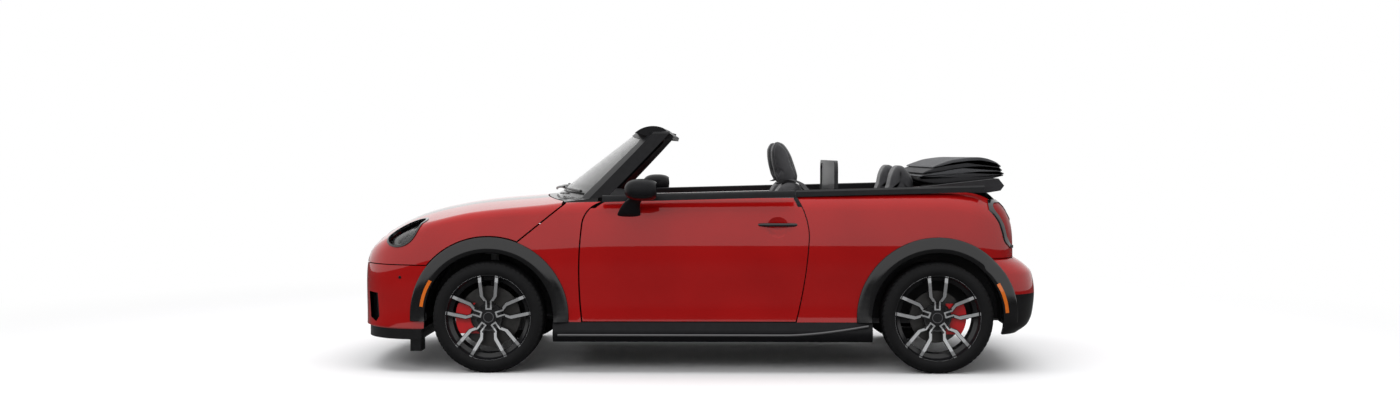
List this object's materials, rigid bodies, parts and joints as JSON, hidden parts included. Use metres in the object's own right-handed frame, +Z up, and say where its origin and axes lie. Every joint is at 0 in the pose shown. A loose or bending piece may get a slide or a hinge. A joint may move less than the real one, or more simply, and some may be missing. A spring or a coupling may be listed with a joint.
{
  "type": "two-door convertible car",
  "caption": "Small two-door four-seat convertible car with its soft top folded, hinged doors, bonnet and boot lid, steered front wheels and turning wheels.",
  "frame": {"origin": "middle of the car's length and width on the floor under the tyres", "axes": "+X to the car's rear, +Y to the car's right, +Z up"},
  "size_m": [3.8788, 2.052, 1.3782],
  "materials": {
    "paint": "gloss red paint",
    "black_trim": "black moulded plastic",
    "gloss_black": "gloss black",
    "underbody": "sealed dark underbody",
    "glass": "clear laminated glass",
    "lamp": "clear lamp lens",
    "lamp_red": "red lamp lens",
    "leather": "dark grained leather",
    "cloth": "woven black top fabric",
    "metal": "bare cast metal",
    "steel": "turned and pressed steel",
    "caliper": "red caliper paint",
    "alloy": "machined alloy with black pockets",
    "tyre": "black tread rubber"
  },
  "bodies": {
    "body": {"floor_pan": "underbody", "cowl": "black_trim", "front_wings": "paint", "quarter_panels": "paint", "front_bumper": "paint", "front_grille": "gloss_black", "front_splitter": "black_trim", "front_rails": "underbody", "front_subframe": "metal", "engine_block": "metal", "wheel_liners": "black_trim", "rear_bumper": "paint", "rear_valance": "black_trim", "rear_suspension": "metal", "calipers_rear": "caliper", "side_sills": "black_trim", "arch_trims": "black_trim", "belt_mouldings": "black_trim", "headlamps": "lamp", "tail_lamps": "lamp_red", "windscreen_frame": "gloss_black", "windscreen_glass": "glass", "cabin_mirror": "black_trim", "dashboard": "black_trim", "centre_console": "black_trim", "front_seats": "leather", "rear_seat": "leather", "wind_deflector": "black_trim", "soft_top": "cloth", "soft_top_tray": "cloth", "exhaust": "steel"},
    "bonnet": {"bonnet": "paint"},
    "boot_lid": {"boot_lid": "paint"},
    "door_left": {"door_left": "paint", "door_trim_left": "gloss_black"},
    "door_right": {"door_right": "paint", "door_trim_right": "gloss_black"},
    "steering_wheel": {"steering_wheel": "leather"},
    "knuckle_left": {"knuckle_left": "metal", "caliper_front_left": "caliper"},
    "knuckle_right": {"knuckle_right": "metal", "caliper_front_right": "caliper"},
    "wheel_front_left": {"tyre_front_left": "tyre", "rim_front_left": "alloy"},
    "wheel_front_right": {"tyre_front_right": "tyre", "rim_front_right": "alloy"},
    "wheel_rear_left": {"tyre_rear_left": "tyre", "rim_rear_left": "alloy"},
    "wheel_rear_right": {"tyre_rear_right": "tyre", "rim_rear_right": "alloy"}
  },
  "joints": [
    {"name": "bonnet_hinge", "type": "hinge", "parent": "body", "child": "bonnet", "pos_m": [-0.7175, 0, 0.944], "axis": [0, 1, 0], "range_deg": [0, 50]},
    {"name": "boot_hinge", "type": "hinge", "parent": "body", "child": "boot_lid", "pos_m": [1.7915, 0, 0.662], "axis": [0, 1, 0], "range_deg": [0, 88]},
    {"name": "door_left_hinge", "type": "hinge", "parent": "body", "child": "door_left", "pos_m": [-0.5455, -0.805, 0.6], "axis": [0, 0, -1], "range_deg": [0, 65]},
    {"name": "door_right_hinge", "type": "hinge", "parent": "body", "child": "door_right", "pos_m": [-0.5455, 0.805, 0.6], "axis": [0, 0, 1], "range_deg": [0, 65]},
    {"name": "steering_column", "type": "hinge", "parent": "body", "child": "steering_wheel", "pos_m": [-0.1395, -0.365, 0.772], "axis": [0.9135, 0, 0.4067], "range_deg": [-470, 470]},
    {"name": "steer_left", "type": "hinge", "parent": "body", "child": "knuckle_left", "pos_m": [-1.1495, -0.7, 0.309], "axis": [0, 0, 1], "range_deg": [-33, 33]},
    {"name": "steer_right", "type": "hinge", "parent": "body", "child": "knuckle_right", "pos_m": [-1.1495, 0.7, 0.309], "axis": [0, 0, 1], "range_deg": [-33, 33]},
    {"name": "spin_front_left", "type": "hinge", "parent": "knuckle_left", "child": "wheel_front_left", "pos_m": [-1.1495, -0.755, 0.309], "axis": [0, 1, 0], "continuous": true},
    {"name": "spin_front_right", "type": "hinge", "parent": "knuckle_right", "child": "wheel_front_right", "pos_m": [-1.1495, 0.755, 0.309], "axis": [0, 1, 0], "continuous": true},
    {"name": "spin_rear_left", "type": "hinge", "parent": "body", "child": "wheel_rear_left", "pos_m": [1.3455, -0.755, 0.309], "axis": [0, 1, 0], "continuous": true},
    {"name": "spin_rear_right", "type": "hinge", "parent": "body", "child": "wheel_rear_right", "pos_m": [1.3455, 0.755, 0.309], "axis": [0, 1, 0], "continuous": true}
  ],
  "couplings": [
    {"joint": "steer_right", "follows": "steer_left", "ratio": 1},
    {"joint": "steering_column", "follows": "steer_left", "ratio": 14}
  ]
}
